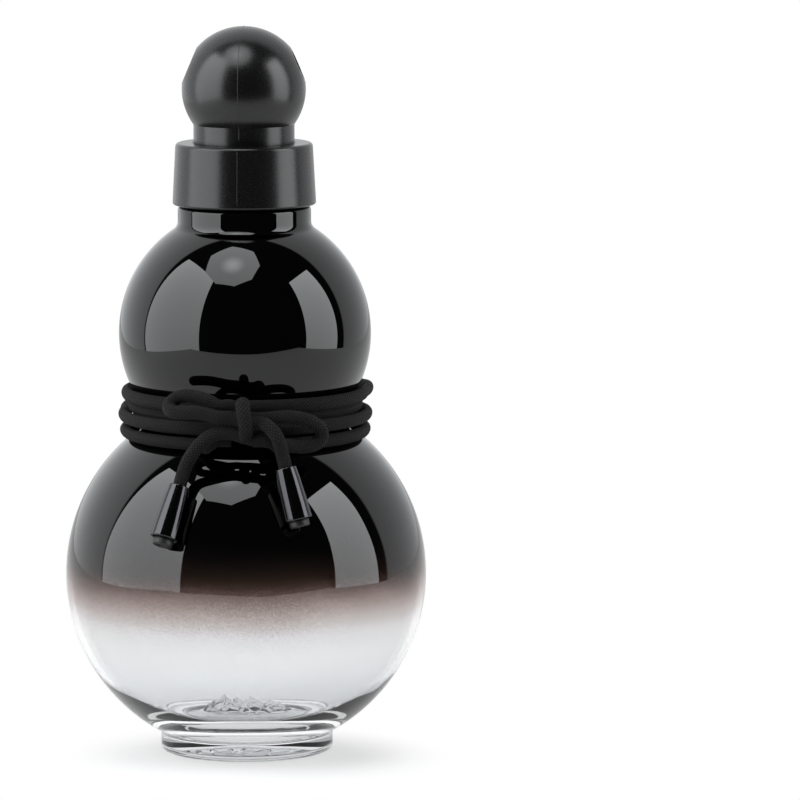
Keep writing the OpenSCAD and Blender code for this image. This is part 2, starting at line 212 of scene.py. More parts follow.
# %% [markdown]
# ## The glass
# The bottle is blown soda glass with an even wall, thick only at the foot. Its outline is two circles, joined by
# small hollow curves at the waist, at the collar and at the foot. The same outline, set in by the wall, makes the
# inside. Turning one closed outline gives a shell with two real surfaces, so that light bends through it as through
# the real wall. The inside floor carries a small island of peaks in the glass, and the neck carries the screw
# thread; both are made by moving the lathe's points.

# %% Sizes of the glass, as in the model's source
LOWER_R, LOWER_Z = 61.4, 60.5
UPPER_R, UPPER_Z = 42.8, 143.0
WALL = 2.2
WAIST_CURVE = 5.0
FLOOR_Z, FLOOR_CURVE = 8.6, 44.0
span = UPPER_Z - LOWER_Z
waist_rise = (span ** 2 + (LOWER_R - UPPER_R) * (LOWER_R + UPPER_R + 2 * WAIST_CURVE)) / (2 * span)
waist_x = math.sqrt((LOWER_R + WAIST_CURVE) ** 2 - waist_rise ** 2)
waist_z = LOWER_Z + waist_rise
print("waist radius %.2f mm at height %.2f mm" % (waist_x - WAIST_CURVE, waist_z))


def joining_curve(globe_z, globe_r, r, curve):
    """Centre of a hollow curve from a globe up or down to a cylinder of radius r, for the upper side."""
    x = r + curve
    return x, globe_z + math.sqrt((globe_r + curve) ** 2 - x ** 2)


def angle_to(cx, cz, x, z):
    return math.degrees(math.atan2(z - cz, x - cx))


FLOOR_FLAT = math.sqrt((LOWER_R - WALL - FLOOR_CURVE) ** 2 - (LOWER_Z - FLOOR_Z - FLOOR_CURVE) ** 2)


def floor_height(r):
    if r < FLOOR_FLAT:
        return FLOOR_Z
    return FLOOR_Z + FLOOR_CURVE - math.sqrt(FLOOR_CURVE ** 2 - (r - FLOOR_FLAT) ** 2)


# %% The outline, from under the foot up the outside and down the inside
def glass_outline():
    foot_r, foot_curve, foot_edge = 29.3, 1.5, 1.4
    foot_x = foot_r + foot_curve
    foot_z = LOWER_Z - math.sqrt((LOWER_R + foot_curve) ** 2 - foot_x ** 2)
    collar_x, collar_z = joining_curve(UPPER_Z, UPPER_R, 22.6, 3.5)
    inner_x, inner_z = joining_curve(UPPER_Z, UPPER_R - WALL, 17.0, 6.0)
    out = [(x, 3.6 - 2.4 * (x / 23.9) ** 2) for x in [23.9 * i / 14 for i in range(15)]]
    out += arc(25.1, 1.2, 1.2, 180, 270, 15)
    out += arc(foot_r - foot_edge, foot_edge, foot_edge, -90, 0, 10)
    a = angle_to(foot_x, foot_z, 0, LOWER_Z)
    out += arc(foot_x, foot_z, foot_curve, 180, a, 10)
    b = angle_to(0, LOWER_Z, foot_x, foot_z)
    c = angle_to(0, LOWER_Z, waist_x, waist_z)
    out += arc(0, LOWER_Z, LOWER_R, b, c, 1.5)[1:]
    d = angle_to(0, UPPER_Z, waist_x, waist_z)
    e = angle_to(waist_x, waist_z, 0, LOWER_Z)
    f = angle_to(waist_x, waist_z, 0, UPPER_Z)
    out += arc(waist_x, waist_z, WAIST_CURVE, e + 360, f, 6)[1:]
    g = angle_to(0, UPPER_Z, collar_x, collar_z)
    out += arc(0, UPPER_Z, UPPER_R, d, g, 1.5)[1:]
    out += arc(collar_x, collar_z, 3.5, angle_to(collar_x, collar_z, 0, UPPER_Z) + 360, 180, 6)[1:]
    out += [(22.6, 184.0)] + arc(21.6, 185.2, 1.0, 0, 90, 15) + [(20.2, 186.2)]
    out += arc(20.1, 186.7, 0.5, -90, -180, 30)
    out += [(19.6, 187.2 + 0.35 * i) for i in range(1, 41)]
    out += arc(18.7, 201.7, 0.9, 0, 90, 15) + arc(17.6, 202.0, 0.6, 90, 180, 20)
    out += [(17.0, 200.5 - 2.6 * i) for i in range(7)]
    out += arc(inner_x, inner_z, 6.0, 180, angle_to(inner_x, inner_z, 0, UPPER_Z) + 360, 5)
    g = angle_to(0, UPPER_Z, inner_x, inner_z)
    out += arc(0, UPPER_Z, UPPER_R - WALL, g, d, 1.5)[1:]
    out += arc(waist_x, waist_z, WAIST_CURVE + WALL, f, e + 360, 6)[1:]
    # the floor is flat in the middle, and a wide curve takes it up into the globe
    turn_z = FLOOR_Z + FLOOR_CURVE
    lower_end = angle_to(0, LOWER_Z, FLOOR_FLAT, turn_z)
    out += arc(0, LOWER_Z, LOWER_R - WALL, c, lower_end, 1.5)[1:]
    out += arc(FLOOR_FLAT, turn_z, FLOOR_CURVE, lower_end, -64, 2.5)[1:]
    start = FLOOR_FLAT + FLOOR_CURVE * math.cos(math.radians(-64))
    radii = [start - 0.9 * i for i in range(1, 18)]
    radii += [radii[-1] - 0.32 * i for i in range(1, 60)]
    out += [(x, floor_height(x)) for x in radii if x > 0.15]
    out.append((0.0, FLOOR_Z))
    return out


outline = glass_outline()
print("glass outline: %d points" % len(outline))


# %% [markdown]
# The thread is a smooth ridge that climbs the neck, with two starts. Each point of the neck moves out where the ridge
# passes. The peaks are a height field on the inside floor: each peak is a cone with ridged sides whose tip leans over
# like a flame, and the island's edge is a low step, as glass pressed on a mould shows it.

# %% Thread and peaks
ISLAND_X, ISLAND_Y, PEAK_RISE, STEP = 15.6, 9.4, 8.6, 0.8
LEAN = 0.26
PEAKS = [(-9.4, 0.4, 1, 7.6), (-5.2, -2.8, 0.6, 5.2), (-1.8, 2.8, 0.78, 6), (3, -0.8, 0.92, 8), (8.8, 1.8, 0.6, 5.8),
         (12.4, -1.6, 0.5, 4.2), (-13, -1.4, 0.34, 4), (0.4, -5.2, 0.34, 4.6), (6.6, -4.6, 0.3, 3.8)]


def floor_relief(x, y):
    """Height of the island above the floor at a place, and how far its tips lean along X, in millimetres."""
    a = math.degrees(math.atan2(y / ISLAND_Y, x / ISLAND_X))
    edge = 1 + sum(size * math.sin(math.radians(count * a + turn))
                   for size, count, turn in ((0.05, 3, 40), (0.035, 5, -70), (0.025, 8, 0)))
    share = math.hypot(x / ISLAND_X, y / ISLAND_Y) / edge
    inside = ease((1.04 - share) / 0.10)
    if inside <= 0:
        return 0.0, 0.0
    total = lean = 0.0
    for px, py, high, wide in PEAKS:
        dx, dy = x - px, y - py
        away = math.hypot(dx, 1.25 * dy)
        rib = math.sin(math.radians(5 * math.degrees(math.atan2(dy, dx)) + 14 * away + 50 * px))
        rise = PEAK_RISE * high * max(0.0, 1 - away / (wide * (1 + 0.17 * rib * min(1, away)))) ** 1.4
        total += rise ** 5
        lean += rise ** 5 * (LEAN if px < -7 else -LEAN)
    rise = total ** 0.2
    lean = rise * lean / max(total, 1e-9) + 0.5 * math.sin(1.1 * rise + 0.4 * x) * min(1, rise / 3)
    return inside * (STEP + rise), inside * lean


def shape_glass(r, a, z):
    if abs(r - 19.6) < 0.01 and 187.0 < z < 201.8:
        across = (z - 188.6 - 8.0 * a / (2 * math.pi)) % 4.0
        r += 1.15 * ease(1.0 - abs(across - 2.0)) * ease((z - 188.4) / 1.2) * ease((200.6 - z) / 1.6)
    x, y = r * math.cos(a), r * math.sin(a)
    if FLOOR_Z - 0.1 < z < FLOOR_Z + 0.6 and r < 18.5:
        rise, lean = floor_relief(x, y)
        x, z = x + lean, z + rise
    return x, y, z


glass = lathe("glass_shell", outline, 192, shift=shape_glass)
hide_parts("glass_bottle")
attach(glass, "bottle")
print("glass: %d faces" % len(glass.data.polygons))

# %% [markdown]
# ## Material helpers
# A short function adds a node and sets its values, so that each material below reads as a list of its parts. An
# effect that several materials share is a node group with named inputs: fine grain for moulded plastic and for
# sprayed paint, and the braid for every length of cord.

# %% Node helpers
def new_material(name):
    made = bpy.data.materials.new(name)
    made.use_nodes = True
    shader = made.node_tree.nodes["Principled BSDF"]
    return made, made.node_tree, shader


def add(tree, kind, **values):
    node = tree.nodes.new(kind)
    for key, value in values.items():
        if key.startswith("in_"):
            node.inputs[int(key[3:])].default_value = value
        else:
            setattr(node, key, value)
    return node


def math_node(tree, operation, a, b=None, clamp=False):
    node = add(tree, "ShaderNodeMath", operation=operation, use_clamp=clamp)
    for k, value in enumerate((a, b)):
        if isinstance(value, (int, float)):
            node.inputs[k].default_value = value
        elif value is not None:
            tree.links.new(value, node.inputs[k])
    return node.outputs[0]


def new_group(name, inputs, outputs):
    group = bpy.data.node_groups.new(name, "ShaderNodeTree")
    for label, kind, value in inputs:
        socket = group.interface.new_socket(label, in_out="INPUT", socket_type=kind)
        if value is not None:
            socket.default_value = value
    for label, kind in outputs:
        group.interface.new_socket(label, in_out="OUTPUT", socket_type=kind)
    return group, group.nodes.new("NodeGroupInput"), group.nodes.new("NodeGroupOutput")


def use_group(tree, group, **values):
    node = add(tree, "ShaderNodeGroup", node_tree=group)
    for key, value in values.items():
        socket = node.inputs[key.replace("_", " ")]
        if isinstance(value, bpy.types.NodeSocket):
            tree.links.new(value, socket)
        else:
            socket.default_value = value
    return node


# %% Grain: fine, even noise for moulded plastic and sprayed paint
grain, gi, go = new_group("Grain", [("Vector", "NodeSocketVector", None), ("Grains per metre", "NodeSocketFloat", 4000.0),
                                    ("Softness", "NodeSocketFloat", 0.5)], [("Height", "NodeSocketFloat"), ("Mask", "NodeSocketFloat")])
fine = add(grain, "ShaderNodeTexNoise", in_3=3.0)
grain.links.new(gi.outputs["Vector"], fine.inputs["Vector"])
grain.links.new(gi.outputs["Grains per metre"], fine.inputs["Scale"])
grain.links.new(gi.outputs["Softness"], fine.inputs["Roughness"])
spread = add(grain, "ShaderNodeMapRange")
spread.inputs["From Min"].default_value = 0.35
spread.inputs["From Max"].default_value = 0.65
grain.links.new(fine.outputs["Fac"], spread.inputs["Value"])
grain.links.new(fine.outputs["Fac"], go.inputs["Height"])
grain.links.new(spread.outputs["Result"], go.inputs["Mask"])

# %% [markdown]
# ## Smoked glass that fades to clear
# The bottle is clear glass, sprayed with black that thins out below the middle of the lower globe: first solid black,
# then a brown haze with fine spray dots, then bare glass. In a glass shader the base colour tints the light that
# comes through, so a black base colour is a solid coat that still mirrors the studio. The colour runs with height,
# and a little noise breaks the edge of the spray.

# %% Glass material
glass_look, tree, shader = new_material("smoked_glass")
where = add(tree, "ShaderNodeTexCoord")
split = add(tree, "ShaderNodeSeparateXYZ")
tree.links.new(where.outputs["Object"], split.inputs[0])
drift = add(tree, "ShaderNodeTexNoise")
drift.inputs["Scale"].default_value = 30.0
tree.links.new(where.outputs["Object"], drift.inputs["Vector"])
spray = use_group(tree, grain, Vector=where.outputs["Object"], Grains_per_metre=2200.0, Softness=0.7)
wander = math_node(tree, "MULTIPLY", math_node(tree, "SUBTRACT", drift.outputs["Fac"], 0.5), 0.004)
dots = math_node(tree, "MULTIPLY", math_node(tree, "SUBTRACT", spray.outputs["Height"], 0.5), 0.017)
height = math_node(tree, "ADD", math_node(tree, "ADD", split.outputs["Z"], wander), dots)
thin = add(tree, "ShaderNodeMapRange")
thin.inputs["From Min"].default_value = 0.030
thin.inputs["From Max"].default_value = 0.080
tree.links.new(height, thin.inputs["Value"])
fade = add(tree, "ShaderNodeValToRGB")
COAT = [(29, (0.76, 0.77, 0.78)), (37, (0.77, 0.775, 0.77)), (42, (0.76, 0.76, 0.76)), (48, (0.68, 0.66, 0.665)),
        (51, (0.53, 0.50, 0.49)), (54, (0.43, 0.37, 0.35)), (57.5, (0.29, 0.23, 0.215)), (61, (0.155, 0.107, 0.096)),
        (64.3, (0.045, 0.027, 0.021)), (67.6, (0.016, 0.010, 0.007)), (74, (0.004, 0.003, 0.003)), (80, (0, 0, 0))]
for k, (level, colour) in enumerate(COAT):
    place = max(0.0, (level - 30) / 50)
    stop = fade.color_ramp.elements[k] if k < 2 else fade.color_ramp.elements.new(place)
    stop.position = place
    stop.color = (*colour, 1)
tree.links.new(thin.outputs["Result"], fade.inputs["Fac"])
tree.links.new(fade.outputs["Color"], shader.inputs["Base Color"])
shader.inputs["Transmission Weight"].default_value = 1.0
shader.inputs["Roughness"].default_value = 0.0
shader.inputs["IOR"].default_value = 1.5
ripple = add(tree, "ShaderNodeTexNoise")
ripple.inputs["Scale"].default_value = 55.0
ripple.inputs["Detail"].default_value = 0.0
tree.links.new(where.outputs["Object"], ripple.inputs["Vector"])
bump = add(tree, "ShaderNodeBump")
bump.inputs["Strength"].default_value = 0.35
bump.inputs["Distance"].default_value = 0.0004
tree.links.new(ripple.outputs["Fac"], bump.inputs["Height"])
tree.links.new(bump.outputs["Normal"], shader.inputs["Normal"])
glass.data.materials.append(glass_look)

# %% [markdown]
# ## The cap
# The cap is one satin black moulding. Its CAD shape is right as it stands, so it keeps it and only gets a finish:
# a soft gloss with a very fine grain. Where the two halves of the mould met, a thin raised line runs up the front
# and the back, over the skirt and the ball.

# %% Cap material
cap_look, tree, shader = new_material("satin_black_plastic")
where = add(tree, "ShaderNodeTexCoord")
skin = use_group(tree, grain, Vector=where.outputs["Object"], Grains_per_metre=2600.0, Softness=0.6)
tone = add(tree, "ShaderNodeMix", data_type="RGBA")
tone.inputs[6].default_value = (0.002, 0.002, 0.0022, 1)
tone.inputs[7].default_value = (0.004, 0.004, 0.0043, 1)
tree.links.new(skin.outputs["Mask"], tone.inputs["Factor"])
tree.links.new(tone.outputs[2], shader.inputs["Base Color"])
rough = add(tree, "ShaderNodeMapRange")
rough.inputs["To Min"].default_value = 0.22
rough.inputs["To Max"].default_value = 0.28
tree.links.new(skin.outputs["Mask"], rough.inputs["Value"])
tree.links.new(rough.outputs["Result"], shader.inputs["Roughness"])
bump = add(tree, "ShaderNodeBump")
bump.inputs["Strength"].default_value = 0.12
bump.inputs["Distance"].default_value = 0.0001
tree.links.new(skin.outputs["Height"], bump.inputs["Height"])
tree.links.new(bump.outputs["Normal"], shader.inputs["Normal"])
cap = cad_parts["cap_shell"]
cap.data.materials.clear()
cap.data.materials.append(cap_look)

# %% The mould's parting line
BALL_R, BALL_Z = 21.0, 226.1
line = [(24.3, 188.2), (23.85, 197.0), (23.35, 206.2), (22.9, 207.2), (22.2, 207.66), (18.2, 207.7)]
ball_line = [(17.12, 209.0), (17.1, 213.4)] + arc(0, BALL_Z, BALL_R, -33, 90, 4)
for number, turn in enumerate((-94.4, 85.6)):
    for part, run in (("skirt", line), ("ball", ball_line)):
        a = math.radians(turn)
        route = smooth_route([(r * math.cos(a), r * math.sin(a), z) for r, z in run], 1.2)
        seam = tube("mould_line_%s_%d" % (part, number), route, 0.11, 6)
        seam.data.materials.append(cap_look)
        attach(seam, "cap")

# %% [markdown]
# ## Liner, thread and seal
# Inside the cap sits a white liner with the female thread, and a clear silicone ring that rests on the rim. They are
# seen when the cap is lifted. The ridges are a separate ring inside the liner, fitted to the neck's thread.

# %% Liner and seal
liner_look, tree, shader = new_material("white_liner")
shader.inputs["Base Color"].default_value = (0.78, 0.78, 0.75, 1)
shader.inputs["Roughness"].default_value = 0.35
where = add(tree, "ShaderNodeTexCoord")
skin = use_group(tree, grain, Vector=where.outputs["Object"], Grains_per_metre=900.0, Softness=0.5)
bump = add(tree, "ShaderNodeBump")
bump.inputs["Strength"].default_value = 0.08
bump.inputs["Distance"].default_value = 0.0001
tree.links.new(skin.outputs["Height"], bump.inputs["Height"])
tree.links.new(bump.outputs["Normal"], shader.inputs["Normal"])
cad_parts["cap_liner"].data.materials.clear()
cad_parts["cap_liner"].data.materials.append(liner_look)

seal_look, tree, shader = new_material("clear_silicone")
shader.inputs["Base Color"].default_value = (0.80, 0.80, 0.78, 1)
shader.inputs["Roughness"].default_value = 0.3
shader.inputs["Subsurface Weight"].default_value = 0.3
shader.inputs["Subsurface Scale"].default_value = 0.002
where = add(tree, "ShaderNodeTexCoord")
skin = use_group(tree, grain, Vector=where.outputs["Object"], Grains_per_metre=700.0, Softness=0.5)
bump = add(tree, "ShaderNodeBump")
bump.inputs["Strength"].default_value = 0.1
bump.inputs["Distance"].default_value = 0.0001
tree.links.new(skin.outputs["Height"], bump.inputs["Height"])
tree.links.new(bump.outputs["Normal"], shader.inputs["Normal"])
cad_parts["seal"].data.materials.clear()
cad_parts["seal"].data.materials.append(seal_look)


def shape_liner_thread(r, a, z):
    across = (z - 188.6 - 8.0 * a / (2 * math.pi)) % 4.0
    ridge = ease(1.0 - min(across, 4.0 - across) / 0.8)
    if r < 21.05:
        r = 21.2 - 1.2 * ridge * ease((z - 188.6) / 1.2) * ease((200.2 - z) / 1.2)
    return r * math.cos(a), r * math.sin(a), z


thread_outline = [(21.0, 188.4 + 0.35 * i) for i in range(35)] + [(21.35, 200.3), (21.35, 188.4)]
thread = lathe("liner_thread", thread_outline, 144, closed=True, shift=shape_liner_thread)
thread.data.materials.append(liner_look)
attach(thread, "cap")

# %% [markdown]
# ## Braided cord
# The cord is five millimetres thick, braided from sixteen bundles of black yarn. Bundles run round it both ways and
# pass over and under each other. The group works on the UV map: u runs round the cord and v along it, both in units
# of the cord's girth. Two slanting sets of ridges are laid over each other, and a chequer decides which lies on top.
# The same height also gives a painted shade and highlight: the colour is made darker where a bundle lies low, between
# and under its neighbours, and lighter on the bundles' tops.

# %% Braid group
braid, gi, go = new_group("Braid", [("UV", "NodeSocketVector", None), ("Bundles", "NodeSocketFloat", 12.0)],
                          [("Height", "NodeSocketFloat"), ("Painted shade", "NodeSocketFloat")])
uv = add(braid, "ShaderNodeSeparateXYZ")
braid.links.new(gi.outputs["UV"], uv.inputs[0])
round_it = math_node(braid, "MULTIPLY", uv.outputs["X"], gi.outputs["Bundles"])
along = math_node(braid, "MULTIPLY", uv.outputs["Y"], gi.outputs["Bundles"])
one, two = math_node(braid, "ADD", round_it, along), math_node(braid, "SUBTRACT", round_it, along)
cells = math_node(braid, "ADD", math_node(braid, "FLOOR", one), math_node(braid, "FLOOR", two))
on_top = math_node(braid, "PINGPONG", cells, 1.0)


def wave(place):
    return math_node(braid, "ABSOLUTE", math_node(braid, "SINE", math_node(braid, "MULTIPLY", place, math.pi)))


def bundle(across, along):
    """A bundle's height: round across, and lower where it dives under its neighbours."""
    arch = math_node(braid, "ADD", math_node(braid, "MULTIPLY", along, 0.5), 0.5)
    return math_node(braid, "MULTIPLY", math_node(braid, "POWER", across, 0.6), arch)


wave_one, wave_two = wave(one), wave(two)
chosen = add(braid, "ShaderNodeMix", data_type="FLOAT")
braid.links.new(on_top, chosen.inputs["Factor"])
braid.links.new(bundle(wave_one, wave_two), chosen.inputs[2])
braid.links.new(bundle(wave_two, wave_one), chosen.inputs[3])
braid.links.new(chosen.outputs[0], go.inputs["Height"])
# Painted shade: the height, sharpened by a power, darkens the cord's colour in the low places between and under the
# bundles.
braid.links.new(math_node(braid, "POWER", chosen.outputs[0], 2.2), go.inputs["Painted shade"])

# %% Cord material
cord_look, tree, shader = new_material("braided_cord")
uv_map = add(tree, "ShaderNodeUVMap", uv_map="UVMap")
weave = use_group(tree, braid, UV=uv_map.outputs["UV"])
# Painted shade and highlight: the weave's shade output sets the colour from near black in the gaps between bundles to
# a lighter black on their tops.
tone = add(tree, "ShaderNodeMix", data_type="RGBA")
tone.inputs[6].default_value = (0.0008, 0.0008, 0.0008, 1)
tone.inputs[7].default_value = (0.020, 0.019, 0.018, 1)
tree.links.new(weave.outputs["Painted shade"], tone.inputs["Factor"])
tree.links.new(tone.outputs[2], shader.inputs["Base Color"])
shader.inputs["Roughness"].default_value = 0.75
shader.inputs["Specular IOR Level"].default_value = 0.12
shader.inputs["Sheen Weight"].default_value = 0.02
shader.inputs["Sheen Roughness"].default_value = 0.5
bump = add(tree, "ShaderNodeBump")
bump.inputs["Strength"].default_value = 1.0
bump.inputs["Distance"].default_value = 0.0005
tree.links.new(weave.outputs["Height"], bump.inputs["Height"])
tree.links.new(bump.outputs["Normal"], shader.inputs["Normal"])

# %% [markdown]
# ## The waist winding
# The cord goes five times round the waist, and the turns lie over one another in the hollow between the globes. Each
# turn has a place in the bundle, given as a radius and a height, and the cord changes place once a turn at the back,
# as a hand-wound cord does. The route is one formula from end to end, so that the winding is one unbroken cord.

# %% Winding
CORD_D = 4.7
TURNS = 5
PLACES = [(40.5, 109.8), (36.4, 114.1), (37.9, 118.4), (40.1, 122.6), (41.1, 115.2), (40.5, 109.8)]
CHANGE_START = [0.46, 0.38, 0.30, 0.24, 0.54]
CHANGE_SPAN = [0.1, 0.1, 0.1, 0.5, 0.1]
LIFT = [0, 0, 0, 5.4, 1.1]
LIFT_START = [0, 0, 0, 0.24, 0.30]
LIFT_END = [0, 0, 0, 0.64, 0.56]
END_Y, END_Z = -46.9, 112.4


def winding_point(u):
    k = min(TURNS - 1, math.floor(u))
    f = u - k
    t = ease((f - CHANGE_START[k]) / CHANGE_SPAN[k])
    out = LIFT[k] * (ease((f - LIFT_START[k]) / 0.1) - ease((f - LIFT_END[k]) / 0.1))
    r = mix(PLACES[k][0], PLACES[k + 1][0], t) + out
    z = mix(PLACES[k][1], PLACES[k + 1][1], t)
    a = 360 * min(u, TURNS - u)
    if a <= 30:
        own = r
        r = mix(abs(END_Y) / math.cos(math.radians(min(a, 60))), own, ease((a - 10) / 12))
        z = mix(END_Z, z - min(0.6, 0.4 * (r - own)), ease((a - 10) / 7))
    turn = math.radians(360 * u - 90)
    return r * math.cos(turn), r * math.sin(turn), z


steps = TURNS * 180
first = math.degrees(math.atan(3.6 / 46.9)) / 360
winding_route = [winding_point(first + (TURNS - 2 * first) * i / steps) for i in range(steps + 1)]
winding = tube("cord_round_waist", winding_route, CORD_D / 2, 16, squeeze=lambda share: (0.84, 1.02))
winding.data.materials.append(cord_look)
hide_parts("cord_winding")
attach(winding, "bottle")
print("winding: %.0f mm of cord" % winding["length_mm"])

# %% [markdown]
# ## The bow
# The cord's two ends are tied in a bow. Each end makes a loop, comes back through the middle, and runs out on the
# other side as a tail. One pass of cord is drawn tight over the middle and holds them. Each end is one tube from the
# back of the knot to its metal barrel, so that the braid runs on without a break.

# %% Knot
wrap_points = [(0.4, -47.6, 124.4), (0.4, -50.6, 125.2), (0.4, -53.0, 124.3), (0.8, -54.5, 121.8), (1.3, -54.8, 119.0),
               (1.5, -54.4, 116.4), (1.2, -52.9, 114.5), (0.7, -50.4, 113.7), (0.4, -47.6, 113.8)]
wrap = tube("knot_wrap", smooth_route(wrap_points, 0.5), CORD_D / 2, 20, up=(1, 0, 0), squeeze=lambda share: (0.92, 1.02))
wrap.data.materials.append(cord_look)
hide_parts("cord_knot")
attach(wrap, "bottle")

# %% Loops and tails
ENDS = {
    "left_loop_and_right_tail": ([(0.5, -47.4, 121.8), (-3.6, -47.2, 123.8), (-7.6, -47.2, 123.8), (-11.4, -46.2, 125.6),
                                  (-15, -44.8, 126.6), (-18.6, -43.2, 126.8), (-21.8, -42.4, 126), (-23.8, -43, 124.4),
                                  (-24.2, -45, 122.8), (-22.6, -47.4, 122), (-19.2, -49.2, 122), (-14.8, -50.6, 122.2),
                                  (-8, -51.8, 120.8), (-3.6, -51.8, 120.6), (0, -52.2, 119.8), (3.6, -52.4, 118.8),
                                  (6.6, -52.4, 118.8), (9.4, -54.8, 117.6), (11.6, -56.2, 115), (12.8, -56, 111.8),
                                  (13.6, -55.2, 108.4), (14.6, -55.8, 104.4), (15.6, -56.4, 100.4)],
                                 ("bow_loop_left", "cord_tail_right")),
    "right_loop_and_left_tail": ([(-0.5, -47.2, 120.4), (3.6, -47, 119.6), (7.8, -47, 119.6), (12, -46.8, 120),
                                  (16.4, -46, 120), (20.6, -45, 119.2), (24, -43.6, 117.6), (26.2, -42.4, 115.2),
                                  (26.4, -42.2, 112.8), (24.8, -43, 110.8), (21.6, -44.6, 110), (17.8, -46.4, 110.2),
                                  (14.2, -48.8, 111), (10.8, -51.4, 112.2), (7.6, -52, 113), (3.6, -52, 113.4),
                                  (0, -52, 114.4), (-3.6, -51.8, 115.4), (-7.6, -51.8, 115.4), (-11.2, -51.6, 114),
                                  (-14.2, -50.8, 111.2), (-16.6, -49.8, 108), (-18.4, -49.2, 104.8),
                                  (-19.6, -49.8, 101.6), (-20.8, -51.4, 97.6), (-22.0, -53.0, 93.6)],
                                 ("bow_loop_right", "cord_tail_left")),
}
cord_ends = {}
for name, (points, nodes) in ENDS.items():
    route = smooth_route(points, 0.5)
    piece = tube(name, route, CORD_D / 2 - 0.05, 20, up=(0, 1, 0.2))
    piece.data.materials.append(cord_look)
    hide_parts(*nodes)
    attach(piece, "bottle")
    cord_ends[name] = (piece, route)
    print("%s: %.1f mm of cord" % (name, piece["length_mm"]))

# %% [markdown]
# ## Cord ends
# Each tail ends in a turned metal barrel, plated black nickel, with a plastic plug in its open end. A barrel is a
# lathe with rounded rims: on polished metal the small rounded edge catches the light and shows that it is metal.

# %% Barrels and plugs
metal_look, tree, shader = new_material("black_nickel")
where = add(tree, "ShaderNodeTexCoord")
skin = use_group(tree, grain, Vector=where.outputs["Object"], Grains_per_metre=1200.0, Softness=0.5)
rough = add(tree, "ShaderNodeMapRange")
rough.inputs["To Min"].default_value = 0.09
rough.inputs["To Max"].default_value = 0.15
tree.links.new(skin.outputs["Mask"], rough.inputs["Value"])
tree.links.new(rough.outputs["Result"], shader.inputs["Roughness"])
shader.inputs["Base Color"].default_value = (0.050, 0.050, 0.053, 1)
shader.inputs["Metallic"].default_value = 1.0

plug_look, tree, shader = new_material("black_plug")
where = add(tree, "ShaderNodeTexCoord")
skin = use_group(tree, grain, Vector=where.outputs["Object"], Grains_per_metre=2600.0, Softness=0.6)
tone = add(tree, "ShaderNodeMix", data_type="RGBA")
tone.inputs[6].default_value = (0.0015, 0.0015, 0.0015, 1)
tone.inputs[7].default_value = (0.0030, 0.0030, 0.0030, 1)
tree.links.new(skin.outputs["Mask"], tone.inputs["Factor"])
tree.links.new(tone.outputs[2], shader.inputs["Base Color"])
shader.inputs["Roughness"].default_value = 0.5

BARRELS = {"left": ((-20.8, -51.4, 97.6), (-25.6, -57.8, 81.6)), "right": ((14.6, -55.8, 104.4), (18.7, -58.26, 88.0))}


def place_along(piece, start, end):
    """Moves the points of a piece that was turned round +Z from the origin, so that it runs from start towards end."""
    way = (Vector(end) - Vector(start)).normalized()
    turn = Vector((0, 0, 1)).rotation_difference(way).to_matrix().to_4x4()
    piece.data.transform(Matrix.Translation(Vector(start) * MM) @ turn)


for side, (start, end) in BARRELS.items():
    long = (Vector(end) - Vector(start)).length + 0.7
    shape = [(0, 0.02), (2.3, 0.02)] + arc(3.1, 0.4, 0.4, -90, 0, 15) + [(3.55, 1.0), (3.9, 4.0), (4.25, 9.0), (4.5, 13.0)]
    shape += [(4.66, long - 1.0)] + arc(4.3, long - 0.4, 0.4, 0, 90, 15) + [(4.1, long)] + arc(4.1, long - 0.3, 0.3, 90, 180, 20)
    shape += [(3.7, long - 1.6), (0, long - 1.6)]
    barrel = lathe("barrel_" + side, shape, 64)
    place_along(barrel, start, end)
    barrel.data.materials.append(metal_look)
    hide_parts("cord_end_" + side)
    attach(barrel, "bottle")
    shape = [(0, long - 1.6), (3.4, long - 1.6), (3.4, long + 1.8)] + arc(2.7, long + 1.9, 0.7, 0, 90, 12)
    shape += [(1.6, long + 2.6), (1.3, long + 2.2), (0, long + 2.2)]
    plug = lathe("plug_" + side, shape, 48)
    place_along(plug, start, end)
    plug.data.materials.append(plug_look)
    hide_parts("end_plug_" + side)
    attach(plug, "bottle")


for side, name in (("right", "left_loop_and_right_tail"), ("left", "right_loop_and_left_tail")):
    piece, route = cord_ends[name]

# %% [markdown]
# ## Table, backdrop and lamps
# The bottle stands on a white table. What black glass shows is what stands round it, so the studio is laid out as the
# real one: a tall soft panel on the left, a narrower one on the right, a round one high in front, white paper
# behind, and a dark room in front past the table's edge.

# %% What a ray is for
def seen_nodes(tree):
    """1 for a ray that comes from the camera, and 1 for a ray that passes or has passed through the glass."""
    path = add(tree, "ShaderNodeLightPath")
    deep = math_node(tree, "GREATER_THAN", path.outputs["Transmission Depth"], 0.5)
    return path, math_node(tree, "MAXIMUM", path.outputs["Is Transmission Ray"], deep)


# %% Table
paper, tree, shader = new_material("white_paper")
shader.inputs["Base Color"].default_value = (0.45, 0.45, 0.45, 1)
shader.inputs["Roughness"].default_value = 1.0
shader.inputs["Specular IOR Level"].default_value = 0.0
path, through = seen_nodes(tree)
GLOW, GLOW_TO_CAMERA, GLOW_THROUGH = 0.38, 0.13, 0.47
shown = math_node(tree, "ADD", math_node(tree, "MULTIPLY", path.outputs["Is Camera Ray"], GLOW_TO_CAMERA),
                  math_node(tree, "MULTIPLY", through, GLOW_THROUGH))
glow = add(tree, "ShaderNodeEmission")
tree.links.new(math_node(tree, "ADD", shown, GLOW), glow.inputs["Strength"])
both = add(tree, "ShaderNodeAddShader")
tree.links.new(shader.outputs[0], both.inputs[0])
tree.links.new(glow.outputs[0], both.inputs[1])
where = add(tree, "ShaderNodeTexCoord")
away = add(tree, "ShaderNodeVectorMath", operation="DISTANCE")
away.inputs[1].default_value = (0, -0.026, 0)
